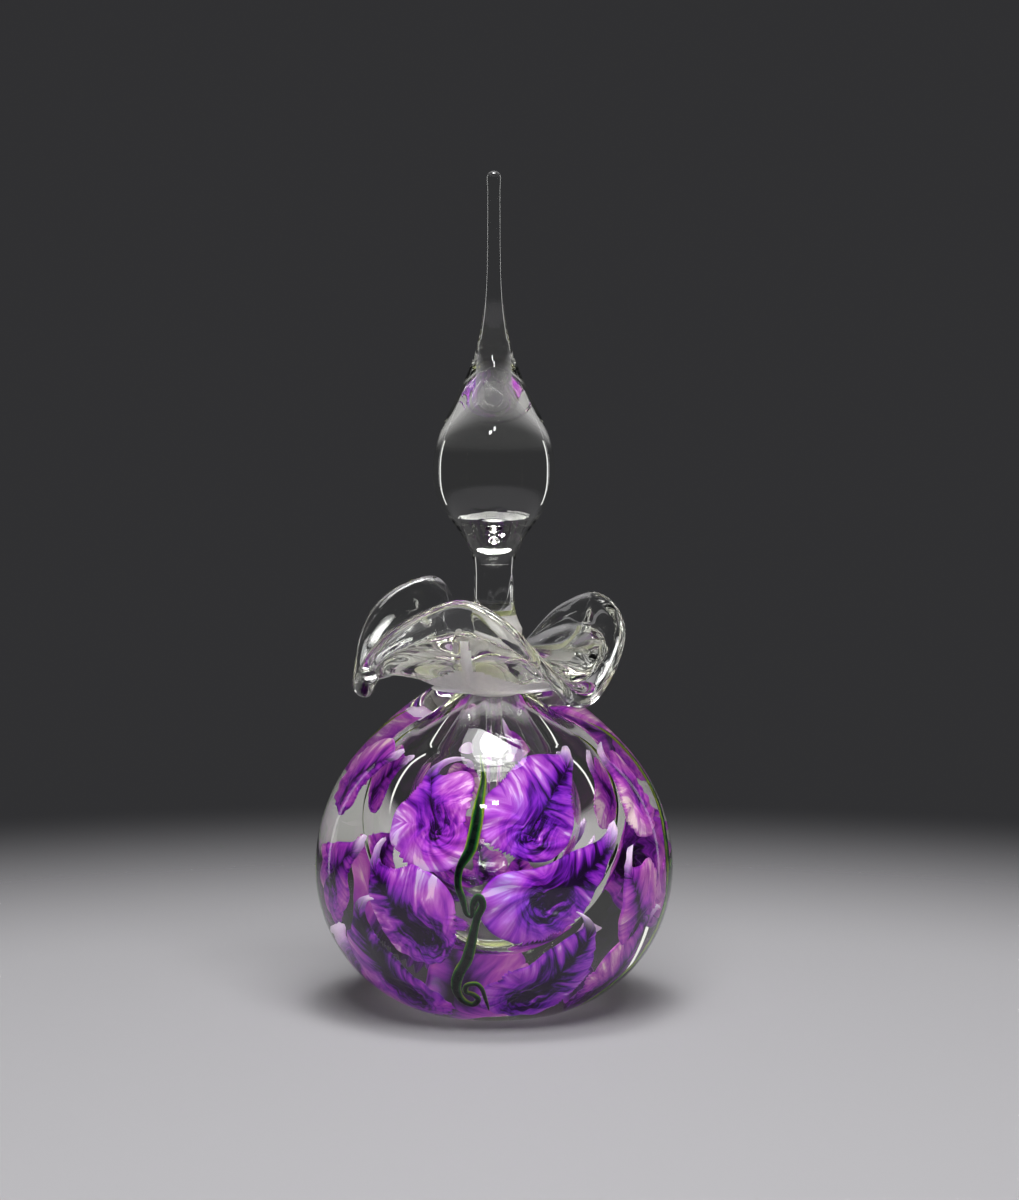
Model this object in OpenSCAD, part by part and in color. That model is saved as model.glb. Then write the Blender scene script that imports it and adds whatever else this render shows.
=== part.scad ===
// Hand-blown perfume bottle: a heavy clear bubble with flowers and vines cased
// between two gathers of glass, a flared wrap of glass round its mouth, and a
// drawn teardrop stopper with a ground plug and a dauber.
// Millimetres, +Z up. The origin is the middle of the flat base, -Y is the front.

/* [Body] */
// Radius of the belly
body_r = 43; // [36:0.5:52]
// Height of the widest point over the base
belly_z = 33.5; // [28:0.5:40]
// Radius of the flat the bottle stands on
base_r = 19.2; // [16:0.2:23]
// Angle above the belly where its arc turns into the flatter shoulder
shoulder_a = 41.5; // [35:0.5:48]
// Height of the waist above the top of the belly's own circle
waist_h = 0.8; // [0.4:0.1:2]

/* [Inner gather] */
// Radius of the gather that carries the flowers
gather_r = 28.5; // [24:0.5:31]
// Height of the gather's centre above the widest point
gather_rise = 2.5; // [1:0.5:4]
// Thickness of the gather round the hollow
gather_t = 7; // [6:0.5:9]
// Height of the hollow's centre above the gather's
cavity_rise = 6; // [4:0.5:7]
// Outer radius of the neck
neck_r = 10; // [9:0.1:12]
// Height of the neck's rim above the waist
mouth_h = 8.7; // [7:0.1:10.5]

/* [Ground joint] */
// Bore radius at the neck's rim
bore_top_r = 6.5; // [5.6:0.1:7.8]
// Radius lost in each millimetre down the ground bore
taper = 0.06; // [0.04:0.01:0.08]
// Length of the ground bore
ground_l = 14; // [11.5:0.5:17]
// Radial clearance between the ground plug and the bore
ground_gap = 0.04; // [0.02:0.01:0.08]

/* [Stopper] */
// Length of the plug's ground taper above the neck's rim
plug_rise = 5; // [3:0.5:7]
// Height of the flare from the plug up to the stem
flare_h = 7; // [5:0.5:9]
// Radius of the stem
stem_r = 4.8; // [4.2:0.1:5.2]
// Length of the straight stem
stem_l = 6; // [4:0.5:10]
// Radius of the teardrop
bulb_r = 14.5; // [12:0.5:17]
// Height from the stem's top to the teardrop's widest point
bulb_rise = 25.5; // [22:0.5:30]
// Length from the teardrop's widest point to the end of its taper
drawn_l = 53.6; // [45:0.2:64]
// Radius of the drawn point
spire_r = 1.65; // [1.4:0.05:2.2]
// Length of the drawn point above the taper
spire_l = 16.5; // [10:0.5:20]
// Radius of the bead at the tip
tip_r = 1.8; // [1.8:0.1:2.6]
// Radius of the dauber at the plug
dauber_r = 2.4; // [1.8:0.1:3]
// Radius of the dauber's end
dauber_tip_r = 1.6; // [1.2:0.1:1.8]
// Length of the dauber below the plug
dauber_l = 30; // [22:1:34]

/* [Inlays] */
// Thickness of the flowers and vines in the gather's skin
inlay_t = 1.6; // [1:0.1:2.2]
// Width of a vine at its thickest
vine_w = 2.4; // [1.8:0.1:3]
// Radius of the curl at a vine's foot
curl_r = 2.6; // [2:0.1:3]
// Turn of the first vine from the front
pattern_az = -9; // [-30:1:30]
// Angle from a vine to the middle of its flowers
flower_az = 31; // [30:0.5:32]

/* [Lip wrap] */
// Thickness of the flared glass
lip_t = 4; // [3:0.1:5]
// Thickness of the wrap where it meets the waist
foot_t = 4.1; // [3:0.1:5]
// Steps round the lip
lip_steps = 72; // [48:12:96]

/* [Hidden] */
$fn = 96;
front = -90;
// Flower rows: name, latitude of the middle, half width and half height as shares of
// the gather's radius, and how much the width grows from the middle to the top.
ROWS = [["upper", 30.5, 0.37, 0.37, -0.22], ["middle", -15.5, 0.4, 0.38, 0], ["lower", -55, 0.26, 0.27, 0.3]];
VINE_SIDES = ["front", "right", "left"];
vines = len(VINE_SIDES);
// Share of a vine's length that comes before its curl.
curl_from = 0.8;
vine_high = 0.84 * gather_r;
vine_low = -0.78 * gather_r;
// Rim of the lip: angle, reach beyond the neck, height over the waist. Three drooping
// spouts and three arches.
RIM = [
    [-14, 20, 14.2], [10, 16, 19.7], [40, 15, 17.7], [70, 19, 10.7], [86, 20, -0.3],
    [102, 21, 8.7], [122, 13, 22.2], [148, 16.5, 20.7], [170, 22.5, 11.2], [185, 20, -3.3],
    [200, 23, 5.7], [220, 18, 14.2], [247, 12, 20.2], [277, 16, 15.7], [298, 22, 4.7],
    [310, 20.5, -3.8], [323, 22.5, 5.7]];

gather_z = belly_z + gather_rise;
cavity_z = gather_z + cavity_rise;
cavity_r = gather_r - gather_t;
waist_z = belly_z + body_r + waist_h;
waist_r = neck_r + foot_t;
mouth_z = waist_z + mouth_h;
bore_foot_z = mouth_z - ground_l;
bore_foot_r = bore_top_r - taper * ground_l;
plug_foot_z = bore_foot_z + 1;
plug_top_z = mouth_z + plug_rise;
stem_foot_z = plug_top_z + flare_h;
stem_top_z = stem_foot_z + stem_l;
bulb_z = stem_top_z + bulb_rise;
point_z = bulb_z + drawn_l;
top_z = point_z + spire_l;
// The arc from the belly to the base keeps its centre at the belly's height.
lower_x = (body_r * body_r - base_r * base_r - belly_z * belly_z) / (2 * (body_r - base_r));
lower_r = body_r - lower_x;
// The shoulder's arc leaves the belly's arc in its own direction and ends at the waist.
shoulder_dir = [cos(shoulder_a), sin(shoulder_a)];
shoulder_at = [0, belly_z] + body_r * shoulder_dir;
shoulder_run = shoulder_at - [waist_r, waist_z];
shoulder_r = shoulder_run * shoulder_run / (2 * shoulder_run * shoulder_dir);
throat_z = cavity_z + 0.75 * cavity_r;

flower_names = [for (row = ROWS) for (n = [1 : 2 * vines]) str("flower_", row[0], "_", n)];
vine_names = [for (side = VINE_SIDES) str("vine_", side)];
NODES = concat(["outer_casing", "inner_gather", "lip_wrap", "finial", "ground_plug", "dauber"],
    vine_names, flower_names);
node = "all";

function shown(name) = node == "all" || node == name;
function plug_r(z) = bore_top_r + taper * (z - mouth_z) - ground_gap;
// Radius of the finial: a straight stem, a swell to the teardrop, then a bell curve to the point.
function finial_r(z) =
    z <= stem_top_z ? stem_r
    : z < bulb_z ? bulb_r - (bulb_r - stem_r) * pow(1 - pow((z - stem_top_z) / bulb_rise, 2.4), 3.8)
    : spire_r + (bulb_r - spire_r) * exp(-5.8 * pow((z - bulb_z) / drawn_l, 2));

// A plug-in point on a smooth closed run of keys, by cubic interpolation.
function cubic(a, b, c, d, t) =
    b + t * ((c - a) / 2 + t * ((2 * a - 5 * b + 4 * c - d) / 2 + t * (3 * b - a - 3 * c + d) / 2));
function rim_key(i) =
    let (n = len(RIM), k = RIM[(i + 2 * n) % n])
    [k[0] + 360 * floor(i / n), k[1], k[2]];
function rim_at(a) =
    let (w = a < RIM[0][0] ? a + 360 : a,
        i = max([for (j = [0 : len(RIM) - 1]) if (rim_key(j)[0] <= w) j]),
        t = (w - rim_key(i)[0]) / (rim_key(i + 1)[0] - rim_key(i)[0]))
    cubic(rim_key(i - 1), rim_key(i), rim_key(i + 1), rim_key(i + 2), t);
function bezier(a, b, c, t) = (1 - t) * (1 - t) * a + 2 * t * (1 - t) * b + t * t * c;
// The lip's section at one angle, as [radius, height] points: up the underside, round
// the fire-polished rim, back down the upper side to the mouth, and down the neck.
function lip_section(a) =
    let (rim = rim_at(a), edge = [neck_r + rim[1], waist_z + rim[2]],
        droop = max(0, min(1, (20 - rim[2]) / 24)),
        mid = [neck_r + 0.5 + 0.74 * rim[1], waist_z + 4.7 + 4 * droop],
        run = (edge - mid) / norm(edge - mid),
        up = [-run[1], run[0]] * lip_t / 2,
        steps = 9)
    concat(
        [for (i = [0 : steps]) bezier([waist_r, waist_z], mid - up, edge - up, i / steps)],
        [for (turn = [45 : 45 : 135]) edge - up * cos(turn) + run * sin(turn) * lip_t / 2],
        [for (i = [steps : -1 : 0]) bezier([wrap_bore_r, mouth_z], mid + up, edge + up, i / steps)],
        [[wrap_bore_r, waist_z]]);
// The facets of the wrap's bore just clear the round neck.
wrap_bore_r = neck_r / cos(180 / lip_steps);

// Half width of a leaf-shaped patch in the direction a, with one drawn-out tip.
function patch_point(a, w, h, grow, side, seed) =
    let (r = pow(pow(abs(cos(a)), 3) + pow(abs(sin(a)), 3), -1 / 3),
        wave = 1 - 0.05 * (1 - cos(5 * a + 70 * seed)),
        tip = 0.12 * exp(-pow((a - (side > 0 ? 45 : 135)) / 16, 2)),
        y = h * r * (wave + tip) * sin(a))
    [w * r * (wave + tip) * cos(a) * (1 + grow * y / h), y];
function patch(w, h, grow, side, seed) = [for (a = [0 : 15 : 345]) patch_point(a, w, h, grow, side, seed)];
// The middle of a vine, from its point at u = 0 down to the curl at u = 1, as
// [side, height] over the gather's centre.
function sway(z) = 0.9 * sin(8 * z) + 0.4 * sin(21 * z);
function vine_line(z) = [sway(z) - 0.7 * curl_r * pow((vine_high - z) / (vine_high - vine_low), 4), z];
function vine_at(u) =
    let (turn = 180 + 330 * (u - curl_from) / (1 - curl_from), r = curl_r * (1 - 0.55 * (turn - 180) / 330))
    u <= curl_from ? vine_line(vine_high + (vine_low - vine_high) * u / curl_from)
    : curl_middle() + r * [cos(turn), sin(turn)];
function curl_middle() = vine_line(vine_low) + [curl_r, 0];
function vine_half(u) = vine_w / 2 * (0.2 + 0.8 * pow(sin(180 * pow(1 - u, 1.5)), 0.7));
function vine_side(u, side) =
    let (run = vine_at(min(1, u + 0.01)) - vine_at(max(0, u - 0.01)))
    vine_at(u) + side * vine_half(u) * [-run[1], run[0]] / norm(run);

module body_profile() {
    intersection() {
        union() {
            translate([lower_x, belly_z]) circle(lower_r);
            if (lower_x > 0) square([lower_x, belly_z]);
        }
        square([body_r, belly_z]);
    }
    intersection() {
        translate([0, belly_z]) circle(body_r);
        translate([0, belly_z]) square([body_r, shoulder_at[1] - belly_z]);
    }
    intersection() {
        translate(shoulder_at - shoulder_r * shoulder_dir) circle(shoulder_r);
        translate([0, shoulder_at[1]]) square([body_r, waist_z - shoulder_at[1]]);
    }
}

// Outside of the inner gather, or the same shape a little smaller.
module gather_shape(inset = 0) {
    cone_z = gather_z + 0.74 * gather_r;
    cone_r = 0.74 * gather_r;
    translate([0, 0, gather_z]) sphere(gather_r - inset);
    translate([0, 0, cone_z - inset]) cylinder(h = bore_foot_z - cone_z, r1 = cone_r - 0.5 * inset,
        r2 = neck_r - 0.5 * inset);
}

module gather_skin() {
    difference() {
        gather_shape();
        gather_shape(inlay_t);
    }
}

module neck_tube() {
    translate([0, 0, gather_z]) cylinder(h = mouth_z - gather_z, r = neck_r);
}

module hollow() {
    throat_r = sqrt(cavity_r * cavity_r - (throat_z - cavity_z) * (throat_z - cavity_z));
    translate([0, 0, cavity_z]) sphere(cavity_r);
    translate([0, 0, throat_z]) cylinder(h = bore_foot_z - throat_z, r1 = throat_r, r2 = bore_foot_r);
    translate([0, 0, bore_foot_z]) cylinder(h = ground_l, r1 = bore_foot_r, r2 = bore_top_r);
}

// A straight bar that leaves the gather's centre in one direction, with a patch for its section.
module bar_towards(az, lat) {
    translate([0, 0, gather_z]) rotate([0, 0, az]) rotate([0, -lat, 0]) rotate([90, 0, 90])
        linear_extrude(height = 2 * gather_r) children();
}

// A petal patch. The vine and its curl lie over its edge.
module flower(row, n) {
    side = n % 2 == 0 ? 1 : -1;
    az = front + pattern_az + 360 / vines * floor(n / 2) + side * flower_az;
    difference() {
        intersection() {
            gather_skin();
            bar_towards(az, row[1])
                polygon(patch(gather_r * row[2], gather_r * row[3], row[4], side, n + row[1]));
        }
        seen_from(floor(n / 2)) {
            vine_outline();
            translate(curl_middle()) circle(curl_r + vine_w / 2);
        }
    }
}

module vine_outline() {
    straight = [for (i = [0 : 15]) curl_from * i / 16];
    curled = [for (i = [0 : 11]) curl_from + (1 - curl_from) * i / 11];
    steps = concat(straight, curled);
    polygon(concat([for (u = steps) vine_side(u, 1)],
        [for (i = [len(steps) - 1 : -1 : 0]) vine_side(steps[i], -1)]));
}

// An outline carried straight inwards through the skin, from the side that vine k is on.
module seen_from(k) {
    translate([0, 0, gather_z]) rotate([0, 0, front + pattern_az + 360 / vines * k])
        rotate([90, 0, 90]) linear_extrude(height = 2 * gather_r) children();
}

module vine(k) {
    intersection() {
        gather_skin();
        seen_from(k) vine_outline();
    }
}

module outer_casing() {
    color("white", 0.3) difference() {
        rotate_extrude() body_profile();
        gather_shape();
        neck_tube();
    }
}

module inner_gather() {
    color("lavender", 0.4) difference() {
        union() {
            gather_shape();
            neck_tube();
        }
        hollow();
        for (k = [0 : vines - 1]) vine(k);
        for (row = ROWS) for (n = [1 : 2 * vines]) flower(row, n);
    }
}

module lip_wrap() {
    angles = [for (i = [0 : lip_steps - 1]) 360 * i / lip_steps];
    sections = [for (a = angles) [for (p = lip_section(a)) [p[0] * cos(a), p[0] * sin(a), p[1]]]];
    m = len(sections[0]);
    color("whitesmoke", 0.5) polyhedron(
        points = [for (s = sections) each s],
        faces = [for (i = [0 : lip_steps - 1]) for (j = [0 : m - 1])
            let (a = i * m + j, b = i * m + (j + 1) % m,
                c = ((i + 1) % lip_steps) * m + j, d = ((i + 1) % lip_steps) * m + (j + 1) % m)
            each [[a, b, d], [a, d, c]]]);
}

module finial() {
    // Close rings over the swell, and wider ones up the drawn point.
    swell = [for (i = [0 : 24]) stem_top_z + i * (bulb_rise + 0.5 * drawn_l) / 24];
    drawn = [for (i = [1 : 8]) bulb_z + 0.5 * drawn_l + i * 0.5 * drawn_l / 8];
    heights = concat([stem_foot_z], swell, drawn, [top_z - tip_r]);
    color("white", 0.4) union() {
        rotate_extrude() polygon(concat([[0, stem_foot_z]], [for (z = heights) [finial_r(z), z]],
            [[0, top_z - tip_r]]));
        translate([0, 0, top_z - tip_r]) sphere(tip_r);
    }
}

module ground_plug() {
    top_r = plug_r(plug_top_z);
    flare = [for (i = [0 : 6]) let (u = i / 6) [stem_r + (top_r - stem_r) * pow(1 - u, 2), plug_top_z + u * flare_h]];
    color("gainsboro", 0.8) rotate_extrude()
        polygon(concat([[0, plug_foot_z], [plug_r(plug_foot_z), plug_foot_z]], flare, [[0, stem_foot_z]]));
}

module dauber() {
    foot_z = plug_foot_z - dauber_l + dauber_tip_r;
    color("white", 0.4) union() {
        translate([0, 0, foot_z])
            cylinder(h = plug_foot_z - foot_z, r1 = dauber_tip_r, r2 = dauber_r);
        translate([0, 0, foot_z]) sphere(dauber_tip_r);
    }
}

if (shown("outer_casing")) outer_casing();
if (shown("inner_gather")) inner_gather();
if (shown("lip_wrap")) lip_wrap();
if (shown("finial")) finial();
if (shown("ground_plug")) ground_plug();
if (shown("dauber")) dauber();
for (k = [0 : vines - 1]) if (shown(vine_names[k])) color("darkgreen") vine(k);
for (r = [0 : len(ROWS) - 1]) for (n = [1 : 2 * vines])
    if (shown(flower_names[2 * vines * r + n - 1])) color("mediumorchid") flower(ROWS[r], n);
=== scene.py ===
import bpy
import numpy as np
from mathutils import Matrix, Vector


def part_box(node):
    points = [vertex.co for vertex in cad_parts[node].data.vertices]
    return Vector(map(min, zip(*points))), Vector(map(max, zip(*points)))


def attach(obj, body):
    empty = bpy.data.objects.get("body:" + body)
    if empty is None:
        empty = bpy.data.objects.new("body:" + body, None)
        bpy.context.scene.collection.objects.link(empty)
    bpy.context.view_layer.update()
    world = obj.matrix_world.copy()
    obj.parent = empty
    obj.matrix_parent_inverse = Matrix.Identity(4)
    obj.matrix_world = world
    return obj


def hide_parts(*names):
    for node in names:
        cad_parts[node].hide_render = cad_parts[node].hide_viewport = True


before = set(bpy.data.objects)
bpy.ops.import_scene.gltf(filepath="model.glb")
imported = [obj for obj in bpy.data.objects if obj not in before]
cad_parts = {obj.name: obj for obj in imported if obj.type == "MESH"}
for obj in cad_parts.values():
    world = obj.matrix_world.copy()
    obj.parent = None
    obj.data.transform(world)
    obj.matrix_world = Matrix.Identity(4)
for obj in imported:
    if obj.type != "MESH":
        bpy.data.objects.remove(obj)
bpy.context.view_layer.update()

mm = 0.001

# ---------------------------------------------------------------------------
# The bottle: a hot bubble blown and cased in a second thick gather of clear soda
# glass, with a bit of glass wrapped round the neck and pulled into a wavy lip.
# The neck is ground out inside, so that the stopper's plug seats in it.

belly_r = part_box("outer_casing")[1][0]
waist_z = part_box("outer_casing")[1][2]
mouth_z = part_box("inner_gather")[1][2]
belly_z = 33.5 * mm
base_r = 19.2 * mm
neck_r = 10 * mm
foot_t = 4.1 * mm
hollow_r = 21.5 * mm
hollow_z = 42 * mm
bore_top_r = 6.5 * mm
bore_foot_r = 5.66 * mm
ground_l = 14 * mm
lip_t = 4 * mm
# Rim of the lip: angle, reach beyond the neck, height over the waist.
rim_keys = np.array([
    [-14, 20, 14.2], [10, 16, 19.7], [40, 15, 17.7], [70, 19, 10.7], [86, 20, -0.3],
    [102, 21, 8.7], [122, 13, 22.2], [148, 16.5, 20.7], [170, 22.5, 11.2], [185, 20, -3.3],
    [200, 23, 5.7], [220, 18, 14.2], [247, 12, 20.2], [277, 16, 15.7], [298, 22, 4.7],
    [310, 20.5, -3.8], [323, 22.5, 5.7]])
# Directions of the lip's three drooping spouts, and of the three crests between them.
spouts, crests = (86, 187, 309), (24, 132, 252)
turns = 288
angle = np.arange(turns) * 360 / turns


def arc(x, z, r, start, end, count):
    """Points on a circle round (x, z), from one angle to another, in degrees."""
    a = np.radians(np.linspace(start, end, count))
    return np.stack([x + r * np.cos(a), z + r * np.sin(a)], -1)


def bend(p, q, r, count):
    """A quadratic Bezier curve from p towards q and on to r. The points may be arrays."""
    t = np.linspace(0, 1, count)[:, None]
    p, q, r = (np.asarray(v)[..., None, :] for v in (p, q, r))
    return (1 - t) ** 2 * p + 2 * t * (1 - t) * q + t ** 2 * r


def cubic(a, b, c, d, t):
    """The Catmull-Rom curve from b at t = 0 to c at t = 1, with a before them and d after."""
    return b + t / 2 * (c - a + t * (2 * a - 5 * b + 4 * c - d + t * (3 * b - a - 3 * c + d)))


def closed_curve(keys, angles):
    """The cubic curve through keys (angle, values...) that repeats every turn."""
    whole = np.zeros(keys.shape[1])
    whole[0] = 360
    turn = np.concatenate([keys - whole, keys, keys + whole])
    i = np.searchsorted(turn[:, 0], angles, side="right") - 1
    t = ((angles - turn[i, 0]) / (turn[i + 1, 0] - turn[i, 0]))[:, None]
    return cubic(*(turn[i + k, 1:] for k in (-1, 0, 1, 2)), t)


def bells(centres, width, power=2):
    """Bell curves round the neck: 1 at each centre, falling off over the width, in degrees."""
    return sum(np.exp(-(((angle - at + 180) % 360 - 180) / width) ** power) for at in centres)


def all_round(part):
    """The same stretch of the section at every angle."""
    return np.broadcast_to(part, (turns,) + part.shape)


def blown(name, grid, attributes=None, material_rows=None):
    """A closed skin over a grid of points (rows, columns, 3). The columns close round, and the
    first and the last row each shrink to a single point. Faces are turned to point outwards."""
    rows, cols = grid.shape[:2]
    body = grid[1:-1].reshape(-1, 3)
    points = np.concatenate([body, grid[0].mean(0)[None], grid[-1].mean(0)[None]])
    foot, head = len(body), len(body) + 1
    c = np.arange(cols)
    n = (c + 1) % cols
    r = np.arange(rows - 3)[:, None] * cols
    quads = np.stack([r + c, r + n, r + cols + n, r + cols + c], -1).reshape(-1, 4)
    last = (rows - 3) * cols
    caps = np.concatenate([np.stack([np.full(cols, foot), n, c], -1),
                           np.stack([np.full(cols, head), last + c, last + n], -1)])
    tri = np.concatenate([quads[:, [0, 1, 2]], quads[:, [0, 2, 3]], caps])
    # A negative volume means that the faces point inwards.
    a, b, d = (points[tri[:, k]] for k in range(3))
    if np.einsum("ij,ij->", a, np.cross(b, d)) < 0:
        quads, caps = quads[:, ::-1], caps[:, ::-1]
    mesh = bpy.data.meshes.new(name)
    mesh.from_pydata(points.tolist(), [], quads.tolist() + caps.tolist())
    mesh.shade_smooth()
    for key, values in (attributes or {}).items():
        flat = np.concatenate([values[1:-1].reshape(-1, values.shape[-1]),
                               values[0].mean(0)[None], values[-1].mean(0)[None]])
        layer = mesh.attributes.new(key, "FLOAT_VECTOR", "POINT")
        layer.data.foreach_set("vector", flat.astype(np.float32).ravel())
    if material_rows is not None:
        rows_of = np.concatenate([np.broadcast_to(material_rows[1:-2], (rows - 3, cols)).ravel(),
                                  np.zeros(2 * cols)])
        mesh.polygons.foreach_set("material_index", rows_of.astype(np.int32))
    piece = bpy.data.objects.new(name, mesh)
    bpy.context.scene.collection.objects.link(piece)
    return piece


# The rim follows its keys, smoothed: waves shorter than about a ninth of a turn fade out.
first = rim_keys[0, 0]
waves = np.fft.rfft(closed_curve(rim_keys, (angle - first) % 360 + first), axis=0)
waves *= np.exp(-(np.arange(len(waves)) / 9) ** 4)[:, None]
rim = np.fft.irfft(waves, turns, axis=0) * mm
edge = np.stack([neck_r + rim[:, 0], waist_z + rim[:, 1]], -1)
droop = np.clip((20 * mm - rim[:, 1]) / (24 * mm), 0, 1)
middle = np.stack([neck_r + 0.5 * mm + 0.74 * rim[:, 0], waist_z + (4.7 + 4 * droop) * mm], -1)
run = (edge - middle) / np.linalg.norm(edge - middle, axis=1)[:, None]
# Half the lip's thickness, square to its run. The glass has gathered at the spouts.
gathered = 1 + 0.3 * bells(spouts, 13)
normal = np.stack([-run[:, 1], run[:, 0]], -1) * gathered[:, None]
up = normal * lip_t / 2
waist = np.array([neck_r + foot_t, waist_z])

# Inside: the round hollow, the throat and the ground bore, up to the mouth.
throat_a = 48.6
throat = [hollow_r * np.cos(np.radians(throat_a)),
          hollow_z + hollow_r * np.sin(np.radians(throat_a))]
bore_foot = [bore_foot_r, mouth_z - ground_l]
bore = np.linspace(bore_foot, [bore_top_r, mouth_z], 28)
inside = np.concatenate([arc(0, hollow_z, hollow_r, -90, throat_a, 72),
                         bend(throat, [8.4 * mm, 64.6 * mm], bore_foot, 24)[1:-1], bore])

# The lip: its upper side, its rolled edge and its underside. The web is thinner than its
# rolled edge, wavy, and stiffened by a rib under each crest.
mouth = np.array([7.6 * mm, mouth_z + 0.6 * mm])
lip_rows = 36
thinned, waved, rib_h = 0.75 * mm, 0.25 * mm, 1.3 * mm
out_u = np.linspace(0, 1, lip_rows)[None]
turn_u = np.radians(angle)[:, None]
web = (thinned * np.exp(-((out_u - 0.8) / 0.1) ** 2)
       + waved * np.sin(7 * turn_u + 9 * out_u) * np.sin(np.pi * out_u))
ribs = rib_h * bells(crests, 4.5)[:, None] * np.sin(np.pi * out_u ** 0.8)
upper = bend(np.tile(mouth, (turns, 1)), middle + up, edge + up, lip_rows)
upper -= web[..., None] * normal[:, None]
roll_a = np.radians(np.linspace(0, 180, 13))[1:-1, None]
roll = edge[:, None] + up[:, None] * np.cos(roll_a) + run[:, None] * np.sin(roll_a) * lip_t / 2
under = bend(edge - up, middle - up, np.tile(waist, (turns, 1)), lip_rows)
under += (web - ribs)[:, ::-1, None] * normal[:, None]

# Outside: three arcs that run into each other, from the waist over the shoulder and the belly
# to the flat base.
shoulder_a = 41.5
shoulder_dir = np.array([np.cos(np.radians(shoulder_a)), np.sin(np.radians(shoulder_a))])
shoulder_at = np.array([0, belly_z]) + belly_r * shoulder_dir
chord = shoulder_at - waist
shoulder_r = chord @ chord / (2 * chord @ shoulder_dir)
shoulder_c = shoulder_at - shoulder_r * shoulder_dir
waist_a = np.degrees(np.arctan2(waist_z - shoulder_c[1], waist[0] - shoulder_c[0]))
lower_x = (belly_r ** 2 - base_r ** 2 - belly_z ** 2) / (2 * (belly_r - base_r))
base_a = np.degrees(np.arctan2(-belly_z, base_r - lower_x))
outside = np.concatenate([
    arc(*shoulder_c, shoulder_r, waist_a, shoulder_a, 22)[1:],
    arc(0, belly_z, belly_r, shoulder_a, 0, 34)[1:],
    arc(lower_x, belly_z, belly_r - lower_x, 0, base_a, 60)[1:],
    np.linspace([base_r - 0.6 * mm, 0], [0, 0], 8)])

section = np.concatenate([all_round(inside), upper, roll, under, all_round(outside)], 1)
# The bore is ground white, and so is the waist. There the white climbs under each crest of the
# lip, and runs up its rib.
row = np.arange(section.shape[1])[:, None]
waist_row = len(row) - len(outside)
climb = 8 + 8 * bells(crests, 30) + 12 * bells(crests, 3.4, 8)
in_bore = (row >= len(inside) - len(bore) - 1) & (row < len(inside))
ground_rows = in_bore | ((row > waist_row - climb) & (row < waist_row))
turn = np.radians(angle)[:, None]
bottle_grid = np.stack([section[..., 0] * np.cos(turn), section[..., 0] * np.sin(turn),
                        section[..., 1]], -1)
bottle = blown("bottle_glass", bottle_grid.transpose(1, 0, 2), material_rows=ground_rows)


def new_material(name):
    """A new material: itself, its node tree and its shader."""
    material = bpy.data.materials.new(name)
    material.use_nodes = True
    return material, material.node_tree, material.node_tree.nodes["Principled BSDF"]


def node(tree, kind, inputs, **settings):
    """A new shader node with its settings. Each input is linked to a socket or set to a value."""
    made = tree.nodes.new("ShaderNode" + kind)
    for key, value in settings.items():
        setattr(made, key, value)
    for key, value in inputs.items():
        if isinstance(value, bpy.types.NodeSocket):
            tree.links.new(value, made.inputs[key])
        else:
            made.inputs[key].default_value = value
    return made


# Marks of working the glass, for every material here: noise that waves the surface a little,
# and drifts from one colour and roughness to another.
marks = bpy.data.node_groups.new("working_marks", "ShaderNodeTree")
for label, kind in (("Scale", "Float"), ("Depth", "Float"), ("Colour A", "Color"),
                    ("Colour B", "Color"), ("Roughness A", "Float"), ("Roughness B", "Float")):
    marks.interface.new_socket(label, in_out="INPUT", socket_type="NodeSocket" + kind)
for label, kind in (("Colour", "Color"), ("Roughness", "Float"), ("Normal", "Vector")):
    marks.interface.new_socket(label, in_out="OUTPUT", socket_type="NodeSocket" + kind)
given = marks.nodes.new("NodeGroupInput").outputs
result = marks.nodes.new("NodeGroupOutput").inputs
place = node(marks, "TexCoord", {}).outputs["Object"]
noise = node(marks, "TexNoise", {"Vector": place, "Scale": given["Scale"], "Detail": 2})
wave = noise.outputs["Fac"]
bump = node(marks, "Bump", {"Distance": given["Depth"], "Height": wave})
share = node(marks, "MapRange", {0: wave, 1: 0.35, 2: 0.65}).outputs[0]
drift = node(marks, "Mix", {0: share, 6: given["Colour A"], 7: given["Colour B"]}, data_type="RGBA")
spread = node(marks, "Mix", {0: share, 2: given["Roughness A"], 3: given["Roughness B"]})
for source, label in ((drift.outputs[2], "Colour"), (spread.outputs[0], "Roughness"),
                      (bump.outputs["Normal"], "Normal")):
    marks.links.new(source, result[label])


def worked(tree, scale, depth, wanted, rough=(0, 0), colours=((1, 1, 1), (1, 1, 1))):
    """Puts the marks in a material: their size, their depth, and which outputs reach its shader."""
    made = tree.nodes.new("ShaderNodeGroup")
    made.node_tree = marks
    made.inputs["Scale"].default_value, made.inputs["Depth"].default_value = scale, depth
    for end, value, colour in zip("AB", rough, colours):
        made.inputs["Roughness " + end].default_value = value
        made.inputs["Colour " + end].default_value = (*colour, 1)
    for output, socket in wanted:
        tree.links.new(made.outputs[output], tree.nodes["Principled BSDF"].inputs[socket])


colour_out, rough_out = ("Colour", "Base Color"), ("Roughness", "Roughness")
normal_out = ("Normal", "Normal")
ior = 1.52

# Clear glass: a trace of green that shows only where the glass is thick.
clear_glass, tree, shader = new_material("clear_glass")
shader.inputs["Roughness"].default_value = 0.0
shader.inputs["IOR"].default_value = ior
shader.inputs["Transmission Weight"].default_value = 1.0
absorb = node(tree, "VolumeAbsorption", {"Color": (0.95, 0.98, 0.76, 1), "Density": 5.0})
tree.links.new(absorb.outputs[0], tree.nodes["Material Output"].inputs["Volume"])
worked(tree, 70, 0.05 * mm, (colour_out, normal_out), colours=((1, 1, 1), (0.99, 1, 0.97)))

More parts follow.
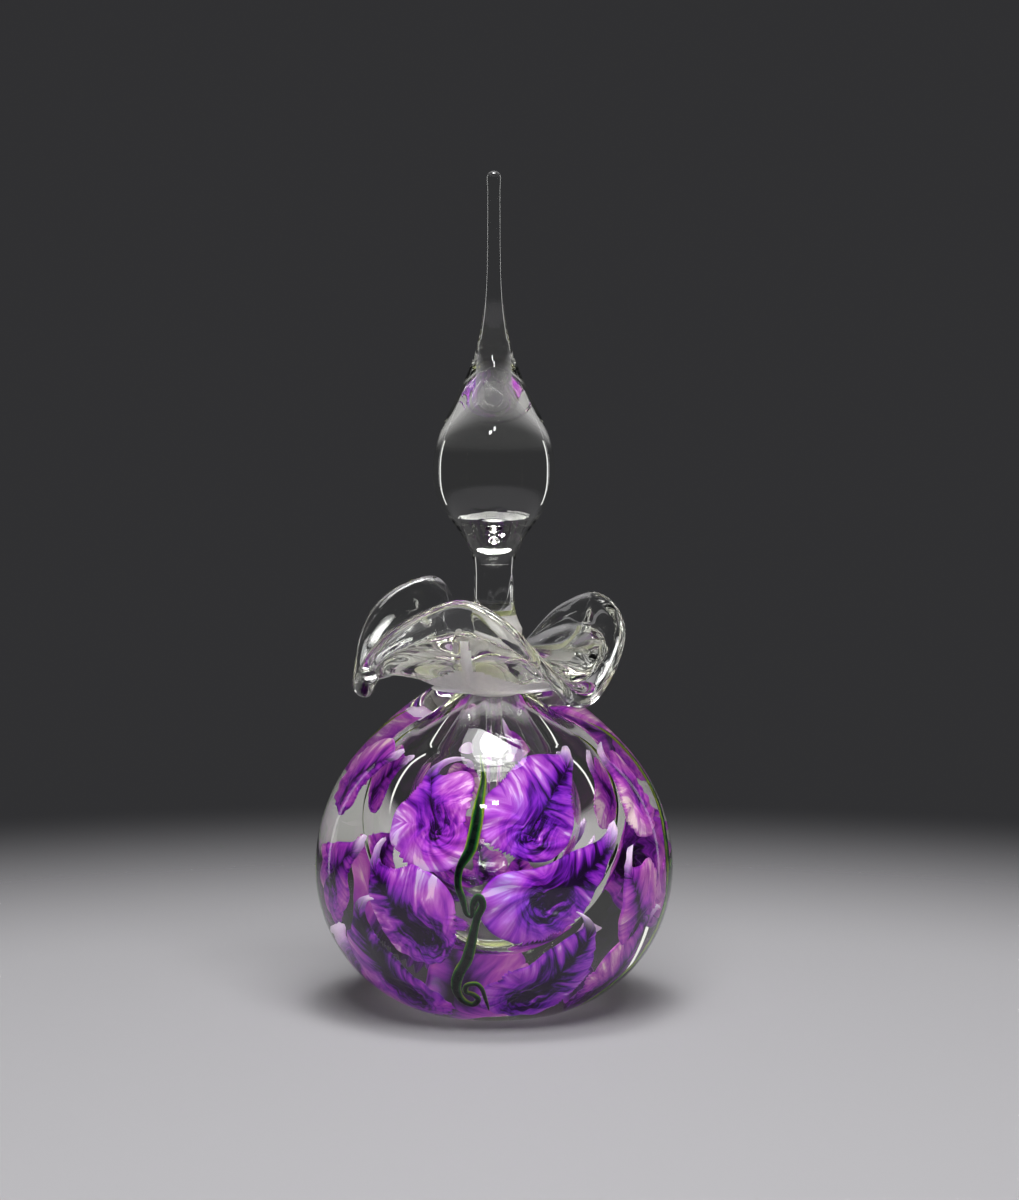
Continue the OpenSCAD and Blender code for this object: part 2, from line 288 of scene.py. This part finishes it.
# Ground glass: the clear glass where grinding has left it white and even.
frosted_glass, tree, shader = new_material("frosted_glass")
shader.inputs["IOR"].default_value = ior
shader.inputs["Transmission Weight"].default_value = 0.75
worked(tree, 900, 0.02 * mm, (colour_out, rough_out, normal_out), (0.4, 0.6),
       ((0.95, 0.93, 0.89), (0.88, 0.86, 0.83)))

bottle.data.materials.append(clear_glass)
bottle.data.materials.append(frosted_glass)
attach(bottle, "bottle")
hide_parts("outer_casing", "inner_gather", "lip_wrap")

# ---------------------------------------------------------------------------
# The flowers: blobs of streaked violet rod melted on to the gather, each raked
# into a petal with a drawn-out hook and then cased in the clear glass.

gather_c = np.array([0, 0, 36 * mm])
gather_r = 28.5 * mm
petal_depth = 1.2 * mm
# The petals at the sides and the back are smaller and lighter.
far_size, far_light = 0.77, 0.14

# The petals beside a vine, all in degrees. Row, side of the vine (0 is right), the turn from the
# front at each of the three vines, latitude, the hook's (direction, reach, bend), the heart
# (across, up, and how dark it is), how light the petal is, and the outline's (direction, reach)
# round the centre.
petal_plan = [
    ("upper", 0, (17, 141, 258), 30, (43, 36, 5), (-1, -13, 0.04), -0.02,
     [[0, 21], [45, 27], [75, 26], [110, 18], [140, 16], [180, 21], [215, 26], [255, 24],
      [310, 24]]),
    ("upper", 1, (-30, 89, 206), 22, (108, 30, -20), (4, -3, 0.08), 0.1,
     [[10, 16], [40, 21], [68, 27], [90, 20], [135, 17], [170, 19], [210, 21], [270, 21],
      [325, 23]]),
    ("middle", 0, (22, 139, 263), -9, (27, 45, 4), (0, -3, 0.2), -0.08,
     [[0, 24], [15, 30], [30, 33], [45, 25], [70, 16], [98, 13], [135, 16], [160, 24],
      [195, 29], [225, 25], [254, 22], [285, 19], [310, 19], [335, 22]]),
    ("middle", 1, (-38, 83, 203), -18, (138, 32, -15), (5, -11, 0.2), -0.04,
     [[8, 21], [45, 22], [85, 21], [110, 20], [138, 24], [170, 23], [200, 21], [223, 20],
      [275, 22], [320, 22]]),
    ("lower", 0, (33, 144, 231), -52, (60, 34, 14), (-4, -9, 0.15), -0.12,
     [[20, 21], [45, 25], [68, 27], [95, 19], [130, 16], [180, 20], [227, 26], [260, 22],
      [290, 22], [330, 19]]),
    ("lower", 1, (-76, 90, 189), -42, (80, 32, -20), (2, -14, 0.15), -0.12,
     [[-10, 14], [30, 14], [80, 20], [115, 17], [145, 21], [190, 23], [225, 22], [255, 27],
      [300, 30], [325, 20]]),
]


def noise_rows(rng, phase, count, power):
    """A random periodic curve: cosines of 1 to count waves, smaller as the wave number grows."""
    k = np.arange(1, count + 1)
    size = rng.normal(size=count) / k ** power
    return (size * np.cos(np.multiply.outer(phase, k) + rng.uniform(0, 6.28, count))).sum(-1)


def there_and_back(front, back):
    """Rows of the outer face to its edge, then rows of the inner face from its edge back."""
    return np.concatenate([front, back[::-1][1:]])


def petal(name, centre, hook, heart, light, outline, size, seed):
    """A raked petal on the gather. The outline is a closed curve round the centre with thorns on
    its edge and a bent hook. Its streaks fan out from a spine between the heart and the hook, and
    wind round the heart. Both faces are the gather's skin, raised along the streaks."""
    rng = np.random.default_rng(seed)
    phi = np.arange(300) * 2 * np.pi / 300
    rho = np.linspace(0, 1, 42)[:, None] ** 0.8
    hook_a, hook_r, bend_a = np.radians(hook) * [1, size, 1]
    plain = np.radians(size * closed_curve(np.array(outline, float), np.degrees(phi))[:, 0])
    base = np.interp(hook_a, phi, plain)
    off = (phi - hook_a + np.pi) % (2 * np.pi) - np.pi
    thorn = (phi * 9 + 3 * noise_rows(rng, phi, 5, 0.8)) % 1
    waver = 0.025 * noise_rows(rng, phi, 9, 0.6)
    nick = 0.09 * thorn * np.clip(noise_rows(rng, phi, 4, 0), 0, 1)
    reach = np.exp(-(off / 0.1) ** 2) + 0.3 * np.exp(-(off / 0.3) ** 2)
    r = (plain * (1 + waver - nick) + (hook_r - base) * reach) * rho
    beyond = np.clip((r - base) / (hook_r - base), 0, 1.3) * np.exp(-(off / 0.45) ** 2)
    way_a = phi + bend_a * beyond ** 2
    x, y = r * np.cos(way_a), r * np.sin(way_a)
    hooked = np.clip(beyond, 0, 1)

    # Where each point lies along and across the spine, which runs from the heart to the hook.
    hx, hy = np.radians(heart[:2])
    sx, sy = hook_r * np.cos(hook_a) - hx, hook_r * np.sin(hook_a) - hy
    spine_l = np.hypot(sx, sy)
    along_s = ((x - hx) * sx + (y - hy) * sy) / spine_l
    across_s = ((y - hy) * sx - (x - hx) * sy) / spine_l
    q = np.clip(along_s - 0.55 * np.abs(across_s), 0, 0.8 * spine_l)
    dist = np.hypot(along_s - q, across_s)
    far = np.hypot(x - hx, y - hy)
    swirl = np.exp(-(far / np.radians(12.5)) ** 4)
    wound = 2.4 * np.exp(-far / np.radians(8)) + rng.uniform(0, 6.28)
    spin = np.arctan2(across_s, along_s - q) + wound
    flow = np.stack([np.cos(spin) + q / np.radians(11), np.sin(spin), dist / np.radians(18)], -1)

    # Dark along the spine, at the heart and at the edge, and lighter away from the spine.
    spine_mark = np.exp(-(across_s / np.radians(1.6)) ** 2) * (along_s > 0) * (1 - beyond)
    edge_mark = np.clip((rho - 0.93) / 0.07, 0, 1) * (1 - hooked)
    tone = (0.08 + light + 0.66 * np.clip(dist / np.radians(16), 0, 1) ** 0.8
            + 0.1 * along_s / spine_l - 0.14 * spine_mark - heart[2] * swirl - 0.2 * edge_mark)
    look = np.stack([tone, swirl, hooked ** 2.5], -1)

    ridges = np.sin(11 * spin + 2 * dist / np.radians(10)) * np.clip(dist / np.radians(9), 0, 1)
    rings = np.cos(far / np.radians(1.9)) * swirl
    ruffle = (0.3 * ridges + 0.3 * rings - np.exp(-(far / np.radians(6)) ** 2)) * mm
    half_t = (0.6 * np.sqrt(np.clip(1 - rho ** 6, 0, 1)) + 0.1 + 0.4 * hooked) * mm
    lean = np.radians([centre[0] - 90, centre[1]])
    front = np.array([np.cos(lean[1]) * np.cos(lean[0]), np.cos(lean[1]) * np.sin(lean[0]),
                      np.sin(lean[1])])
    east = np.array([-np.sin(lean[0]), np.cos(lean[0]), 0])
    north = np.cross(front, east)
    t = np.hypot(x, y)[..., None] + 1e-9
    way = np.cos(t) * front + np.sin(t) * (x[..., None] * east + y[..., None] * north) / t
    middle_r = gather_r - petal_depth + ruffle
    outer, inner = (gather_c + way * (middle_r + side * half_t)[..., None] for side in (1, -1))
    return blown(name, there_and_back(outer, inner),
                 {"flow": there_and_back(flow, flow), "look": there_and_back(look, look)})


def petal_glass(name, seed, blue, tint, contrast):
    """Streaked glass. Noise drawn out along the streaks, and wound into rings round the heart,
    shifts the tone of a ramp from near-black violet over purple to milky lavender. Broad clouds
    lean towards blue, and the hook runs out to milky white."""
    material, tree, surface = new_material(name)

    def noise(source, stretch, shift, detail, distortion):
        """Noise read at the source's coordinates times the stretch, plus the shift."""
        read = node(tree, "VectorMath", {0: source, 1: stretch, 2: (shift, shift * 2, shift * 3)},
                    operation="MULTIPLY_ADD")
        made = node(tree, "TexNoise", {"Vector": read.outputs[0], "Scale": 1.0, "Detail": detail,
                                       "Distortion": distortion})
        return made.outputs["Fac"]

    def total(first, factor, second):
        """The first value times the factor, plus the second value."""
        return node(tree, "Math", {0: first, 1: factor, 2: second},
                    operation="MULTIPLY_ADD").outputs[0]

    fine_share, cloud_share = 0.28, 0.5
    flow = node(tree, "Attribute", {}, attribute_name="flow").outputs["Vector"]
    look = node(tree, "Attribute", {}, attribute_name="look").outputs["Vector"]
    tone, swirl, pale = node(tree, "SeparateXYZ", {0: look}).outputs
    streak = noise(flow, (2.4, 2.4, 0.9), seed, 3, 0.9)
    fine = noise(flow, (11, 11, 0.9), seed + 5, 2, 0.25)
    rings = noise(flow, (0.8, 0.8, 8), seed + 9, 3, 0.9)
    place = node(tree, "TexCoord", {}).outputs["Object"]
    cloud = noise(place, (70, 70, 70), seed + 13, 2, 0.6)
    wound = node(tree, "Mix", {0: swirl, 2: streak, 3: rings}).outputs[0]
    value = total(wound, contrast, tone)
    value = total(fine, fine_share, value)
    value = total(cloud, cloud_share, value)
    # Each noise swings round a half, so half of their shares is taken off again.
    centred = node(tree, "Math", {0: value, 1: 0.5 * (contrast + fine_share + cloud_share)},
                   operation="SUBTRACT")
    ramp = node(tree, "ValToRGB", {0: centred.outputs[0]})
    stops = [(0.0, (0.008, 0.001, 0.022)), (0.16, (0.03, 0.002, 0.1)),
             (0.32, (0.11, 0.006, 0.33)), (0.48, (0.22, 0.018, 0.5)),
             (0.64, (0.32, 0.045, 0.56)), (0.8, (0.4, 0.1, 0.62)),
             (0.92, (0.48, 0.19, 0.7)), (1.0, (0.62, 0.4, 0.8))]
    for at, colour in stops[1:-1]:
        ramp.color_ramp.elements.new(at)
    for element, (at, colour) in zip(ramp.color_ramp.elements, stops):
        element.position, element.color = at, (*colour, 1)
    lean = node(tree, "MapRange", {0: cloud, 1: 0.5, 2: 0.72, 3: 0, 4: blue})
    bluer = node(tree, "Mix", {0: lean.outputs[0], 6: ramp.outputs[0], 7: (0.6, 1.1, 1.2, 1)},
                 data_type="RGBA", blend_type="MULTIPLY")
    tinted = node(tree, "Mix", {0: 1, 6: bluer.outputs[2], 7: (*tint, 1)},
                  data_type="RGBA", blend_type="MULTIPLY")
    milky = node(tree, "Mix", {0: pale, 6: tinted.outputs[2], 7: (0.8, 0.62, 0.88, 1)},
                 data_type="RGBA")
    tree.links.new(milky.outputs[2], surface.inputs["Base Color"])
    worked(tree, 500, 0.08 * mm, (rough_out, normal_out), (0.3, 0.55))
    surface.inputs["Specular IOR Level"].default_value = 0.1
    # Painted glow: the petal's colour is also given off as light, at a strength of 0.3, standing in
    # for the light that soaks through the streaks from behind.
    tree.links.new(milky.outputs[2], surface.inputs["Emission Color"])
    surface.inputs["Emission Strength"].default_value = 0.3
    return material


# One glass for each side of the front vine, and one for every petal further round.
violet = petal_glass("petal_glass_violet", 3, 0.4, (1.2, 1.1, 0.92), 2.0)
bluish = petal_glass("petal_glass_blue", 10, 0.4, (1.08, 1, 0.97), 2.1)
mauve = petal_glass("petal_glass_mauve", 17, 0.2, (1.35, 1.5, 0.85), 1.3)
for third in range(3):
    for row, (band, side, turned, lat, hook, heart, light, outline) in enumerate(petal_plan):
        # The even node stands right of its vine, and the odd one left of it.
        number = [2 * third or 6, 2 * third + 1][side]
        piece = petal(f"petal_{band}_{number}", (turned[third], lat), hook, heart,
                      light + far_light * (third > 0), outline, far_size if third else 1,
                      10 * third + row)
        piece.data.materials.append(mauve if third else (bluish, violet)[side])
        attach(piece, "bottle")
        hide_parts(f"flower_{band}_{number}")

# ---------------------------------------------------------------------------
# The vines: a thin dark green rod trailed over the gather between the petals,
# with a bud half way down and a curl at its foot.

# The middle of the rod: side and height over the gather's middle, as seen from the front.
vine_path = np.array([
    [-2.8, 24], [-2.4, 21.5], [-2.1, 19], [-2.8, 15.2], [-3.4, 11.4], [-4, 8.5], [-4.8, 5.5],
    [-6.8, 2], [-7.2, -1.5], [-6.2, -4.7], [-5.5, -7.4], [-4.4, -7.9], [-4.2, -5.8],
    [-3.4, -4.2], [-2.6, -4.3], [-2.2, -5.8], [-3.2, -8], [-3.9, -10.8], [-4.5, -13.8],
    [-5.3, -16.8], [-6.7, -19.3], [-7.3, -21.6], [-6.9, -23.5], [-5.6, -24.9], [-3.9, -25.4],
    [-3, -24.5], [-4, -23.6], [-5.4, -23.1], [-5.2, -21.9], [-3.4, -21.6], [-2.3, -22.6],
    [-1.6, -24.5], [-0.9, -26.6]])
# Half the rod's width at shares of its length, and half its thickness.
vine_width = ([0, 0.05, 0.15, 0.24, 0.3, 0.38, 0.44, 0.5, 0.58, 0.66, 0.74, 0.84, 0.93, 1],
              [0.1, 0.5, 1.3, 1.3, 0.8, 0.75, 0.4, 0.8, 0.8, 1.15, 1.1, 0.6, 0.5, 0.4])
vine_half_t = 0.7
vine_lift = 0.5 * mm


def along(points, count):
    """A smooth path through the points: Catmull-Rom, read at even steps of its length."""
    ends = np.concatenate([[2 * points[0] - points[1]], points, [2 * points[-1] - points[-2]]])
    s = np.linspace(0, len(points) - 1 - 1e-6, count * 4)
    i = s.astype(int)
    fine = cubic(*(ends[i + k] for k in range(4)), (s - i)[:, None])
    steps = np.linalg.norm(np.diff(fine, axis=0), axis=1)
    length = np.concatenate([[0], np.cumsum(steps)])
    at = np.linspace(0, length[-1], count)
    return np.stack([np.interp(at, length, fine[:, k]) for k in range(fine.shape[1])], -1)


def trail(name, path, wide, thick, turned, skin_r):
    """A flattened rod on the gather. The path is (side, height) over the gather's middle as seen
    from the vine's own side, the half width varies along it, and the section is an ellipse."""
    flat = along(path * mm, 260)
    out = np.sqrt(np.maximum(skin_r ** 2 - (flat ** 2).sum(1), (4 * mm) ** 2))
    spine = np.stack([flat[:, 0], -out, flat[:, 1]], -1)
    square = spine / np.linalg.norm(spine, axis=1)[:, None]
    way = np.gradient(spine, axis=0)
    way /= np.linalg.norm(way, axis=1)[:, None]
    across = np.cross(way, square)
    u = np.linspace(0, 1, len(flat))
    rounded = np.sqrt(np.clip(1 - (2 * np.abs(u - 0.5)) ** 24, 0, 1))
    half = (np.interp(u, *wide) * mm * rounded)[:, None, None]
    a = (np.arange(24) * 2 * np.pi / 24)[None, :, None]
    grid = (spine[:, None] + np.cos(a) * across[:, None] * half
            + np.sin(a) * square[:, None] * np.minimum(half, thick * mm))
    c, s = np.cos(np.radians(turned)), np.sin(np.radians(turned))
    grid = np.stack([c * grid[..., 0] - s * grid[..., 1], s * grid[..., 0] + c * grid[..., 1],
                     grid[..., 2]], -1)
    rim_share = np.broadcast_to(np.abs(np.cos(a)), grid.shape[:2] + (1,))
    lengthwise = np.broadcast_to(u[:, None, None], grid.shape[:2] + (1,))
    blade = np.concatenate([rim_share, lengthwise, 0 * lengthwise], -1)
    return blown(name, grid + [0, 0, gather_c[2]], {"blade": blade})


# The ramp's value is how near the rod's edge a point lies, plus half of a mottle. The pointed
# top is lifted by 0.1, and the rest from a quarter down is lowered by 0.28, so it is darker.
vine_glass, tree, surface = new_material("vine_glass")
blade = node(tree, "Attribute", {}, attribute_name="blade").outputs["Vector"]
rim_share, lengthwise = node(tree, "SeparateXYZ", {0: blade}).outputs[:2]
place = node(tree, "TexCoord", {}).outputs["Object"]
mottle = node(tree, "TexNoise", {"Vector": place, "Scale": 260})
value = node(tree, "Math", {0: mottle.outputs["Fac"], 1: 0.5, 2: rim_share},
             operation="MULTIPLY_ADD")
lifted = node(tree, "MapRange", {0: lengthwise, 1: 0.08, 2: 0.28, 3: 0.1, 4: -0.28})
tint = node(tree, "Math", {0: value.outputs[0], 1: lifted.outputs[0]}, operation="ADD")
ramp = node(tree, "ValToRGB", {0: tint.outputs[0]})
first, last = ramp.color_ramp.elements
first.position, first.color = 0.42, (0.001, 0.006, 0.004, 1)
last.position, last.color = 1.0, (0.3, 0.42, 0.03, 1)
ramp.color_ramp.elements.new(0.62).color = (0.003, 0.05, 0.014, 1)
ramp.color_ramp.elements.new(0.85).color = (0.02, 0.16, 0.02, 1)
tree.links.new(ramp.outputs["Color"], surface.inputs["Base Color"])
worked(tree, 700, 0.1 * mm, (rough_out, normal_out), (0.2, 0.45))
surface.inputs["Specular IOR Level"].default_value = 0.1

for third, side in enumerate(("front", "right", "left")):
    piece = trail(f"vine_{side}_rod", vine_path, vine_width, vine_half_t, 120 * third,
                  gather_r + vine_lift)
    piece.data.materials.append(vine_glass)
    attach(piece, "bottle")
    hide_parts(f"vine_{side}")

# ---------------------------------------------------------------------------
# The stopper: one drawn piece of solid clear glass, pulled to a long point with a
# bead on its end. The plug is ground to the neck's taper, and a thin dauber
# hangs from it into the perfume.

plug_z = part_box("ground_plug")[0][2]
stem_foot_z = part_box("ground_plug")[1][2]
tip_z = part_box("finial")[1][2]
dauber_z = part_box("dauber")[0][2]
plug_top_z = mouth_z + 5 * mm
stem_top_z = stem_foot_z + 6 * mm
bulb_z = stem_top_z + 25.5 * mm
drawn_l = 53.6 * mm
taper, ground_gap = 0.06, 0.04 * mm
stem_r, bulb_r, spire_r, tip_r = 4.8 * mm, 14.5 * mm, 1.65 * mm, 1.8 * mm
dauber_tip_r, dauber_top_r = 1.6 * mm, 2.4 * mm
bead_l = 3 * mm
tip_c = tip_z - tip_r


def finial_r(z):
    """Radius of the stopper over its plug: a stem, a swell to the teardrop, a bell curve drawn
    out to the point and a bead on its end."""
    u = np.clip((z - stem_top_z) / (bulb_z - stem_top_z), 0, 1)
    swell = bulb_r - (bulb_r - stem_r) * (1 - u ** 2.4) ** 3.8
    bead = np.clip((z - tip_c + bead_l) / bead_l, 0, 1)
    drawn = (spire_r + (bulb_r - spire_r) * np.exp(-5.8 * ((z - bulb_z) / drawn_l) ** 2)
             + (tip_r - spire_r) * bead * bead * (3 - 2 * bead))
    return np.where(z < bulb_z, swell, drawn)


def plug_r(z):
    """Radius of the ground plug: the bore's taper less the ground clearance."""
    return bore_top_r + taper * (z - mouth_z) - ground_gap


dauber_top = [dauber_top_r, plug_z - 1.2 * mm]
dauber = np.linspace([dauber_tip_r, dauber_z + dauber_tip_r], dauber_top, 20)
plug_foot = bend(dauber_top, [2.6 * mm, plug_z], [plug_r(plug_z) - 0.4 * mm, plug_z], 8)
z = np.linspace(plug_z, plug_top_z, 24)
plug = np.stack([plug_r(z), z], -1)
flare_u = np.linspace(0, 1, 16)[:, None]
flare = np.concatenate([stem_r + (plug_r(plug_top_z) - stem_r) * (1 - flare_u) ** 2,
                        plug_top_z + flare_u * (stem_foot_z - plug_top_z)], 1)
z = np.linspace(stem_foot_z, tip_c, 260)
finial = np.stack([finial_r(z), z], -1)
stopper_profile = np.concatenate([
    arc(0, dauber_z + dauber_tip_r, dauber_tip_r, -90, 0, 10), dauber[1:], plug_foot[1:],
    plug[1:], flare[1:], finial[1:], arc(0, tip_c, tip_r, 0, 90, 14)[1:]])
radius, height = stopper_profile[:, :1], stopper_profile[:, 1:]
ground = (height > plug_z) & (height < plug_top_z + 3 * mm) & (radius > 4 * mm)
a = np.radians(np.arange(128) * 360 / 128)[None]
stopper_grid = np.stack([radius * np.cos(a), radius * np.sin(a), height + 0 * a], -1)
stopper = blown("stopper_glass", stopper_grid, material_rows=ground)
stopper.data.materials.append(clear_glass)
stopper.data.materials.append(frosted_glass)
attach(stopper, "stopper")
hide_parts("finial", "ground_plug", "dauber")

# ---------------------------------------------------------------------------
# The studio: a pale table top that fades into a dim backdrop, a soft light over
# the bottle and one high over the camera, and narrow ones at the sides.

# The table top: a disc of rings and spokes just under the bottle's base.
disc_r, rings, spokes = 0.6, 14, 96
a = np.radians(np.arange(spokes) * 360 / spokes)[None, :]
from_centre = np.linspace(0, disc_r, rings)[:, None]
disc = np.stack([from_centre * np.cos(a), from_centre * np.sin(a), 0 * from_centre * a], -1)
r = np.arange(rings - 1)[:, None] * spokes
c = np.arange(spokes)
n = (c + 1) % spokes
faces = np.stack([r + c, r + spokes + c, r + spokes + n, r + n], -1).reshape(-1, 4)
table = bpy.data.meshes.new("table_top")
table.from_pydata((disc.reshape(-1, 3) - [0, 0, 0.2 * mm]).tolist(), [], faces.tolist())
floor = bpy.data.objects.new("table_top", table)
floor.location = (0, -0.12, 0)
bpy.context.scene.collection.objects.link(floor)
floor_paint, tree, surface = new_material("pale_table")
surface.inputs["Base Color"].default_value = (0.23, 0.226, 0.235, 1)
surface.inputs["Roughness"].default_value = 0.7
place = node(tree, "TexCoord", {}).outputs["Object"]
out = node(tree, "VectorMath", {0: place}, operation="LENGTH").outputs["Value"]
fade = node(tree, "MapRange", {0: out, 1: 0.2, 2: 0.46, 3: 1, 4: 0},
            interpolation_type="SMOOTHSTEP")
tree.links.new(fade.outputs[0], surface.inputs["Alpha"])
table.materials.append(floor_paint)

world = bpy.data.worlds.new("studio")
bpy.context.scene.world = world
world.use_nodes = True
back = world.node_tree.nodes["Background"]
back.inputs[0].default_value = (0.03, 0.03, 0.032, 1)
back.inputs[1].default_value = 1.0


def softbox(name, place, aim_z, size, power, shape="RECTANGLE"):
    """A soft lamp at a place, turned to face the height aim_z over the middle of the bottle."""
    lamp = bpy.data.lights.new(name, "AREA")
    lamp.shape = shape
    lamp.size, lamp.size_y = size
    lamp.energy = power
    holder = bpy.data.objects.new(name, lamp)
    bpy.context.scene.collection.objects.link(holder)
    holder.location = place
    away = np.array(place) - [0, 0, aim_z]
    holder.rotation_euler = (np.arctan2(np.hypot(away[0], away[1]), away[2]), 0,
                             np.arctan2(away[1], away[0]) + np.pi / 2)
    return holder


# The overhead light is four nested lamps, so that its reflection fades towards the edge.
for nest, width in enumerate((0.1, 0.19, 0.3, 0.44)):
    softbox(f"lamp_top_{nest + 1}", (0.0, -0.08 - 0.001 * nest, 0.74), 0.05,
            (width, 0.8 * width), 4.8 * width, "ELLIPSE")
# The narrow lamps at the sides line the edges of the glass.
softbox("lamp_left", (-0.75, 0.6, 0.16), 0.12, (0.05, 0.8), 0.14)
softbox("lamp_right", (0.75, 0.6, 0.16), 0.12, (0.05, 0.8), 0.14)
# The fill lights the flowers and isn't mirrored in the skin, and the spots make two glints.
fill = softbox("lamp_fill", (0.1, -0.6, 1.0), 0.06, (0.9, 0.4), 20)
fill.visible_glossy = False
softbox("lamp_spot_left", (-0.075, -0.5, 0.56), 0.05, (0.05, 0.03), 0.16)
softbox("lamp_spot_right", (0.015, -0.5, 0.6), 0.05, (0.05, 0.035), 0.16)

# The camera stands level with the stopper and looks slightly down.
eye = bpy.data.cameras.new("eye")
eye.lens = 85
eye.sensor_fit = "VERTICAL"
eye.sensor_height = 36
camera = bpy.data.objects.new("eye", eye)
camera.location = (3.7 * mm, -0.676, 0.1486)
camera.rotation_euler = (np.radians(90 - 4.3), 0, 0)
bpy.context.scene.collection.objects.link(camera)
scene = bpy.context.scene
scene.camera = camera
scene.cycles.use_denoising = True
scene.cycles.max_bounces = 24
scene.cycles.transmission_bounces = 20
scene.cycles.glossy_bounces = 8
scene.cycles.diffuse_bounces = 4
scene.cycles.sample_clamp_indirect = 8
scene.view_settings.view_transform = "Standard"
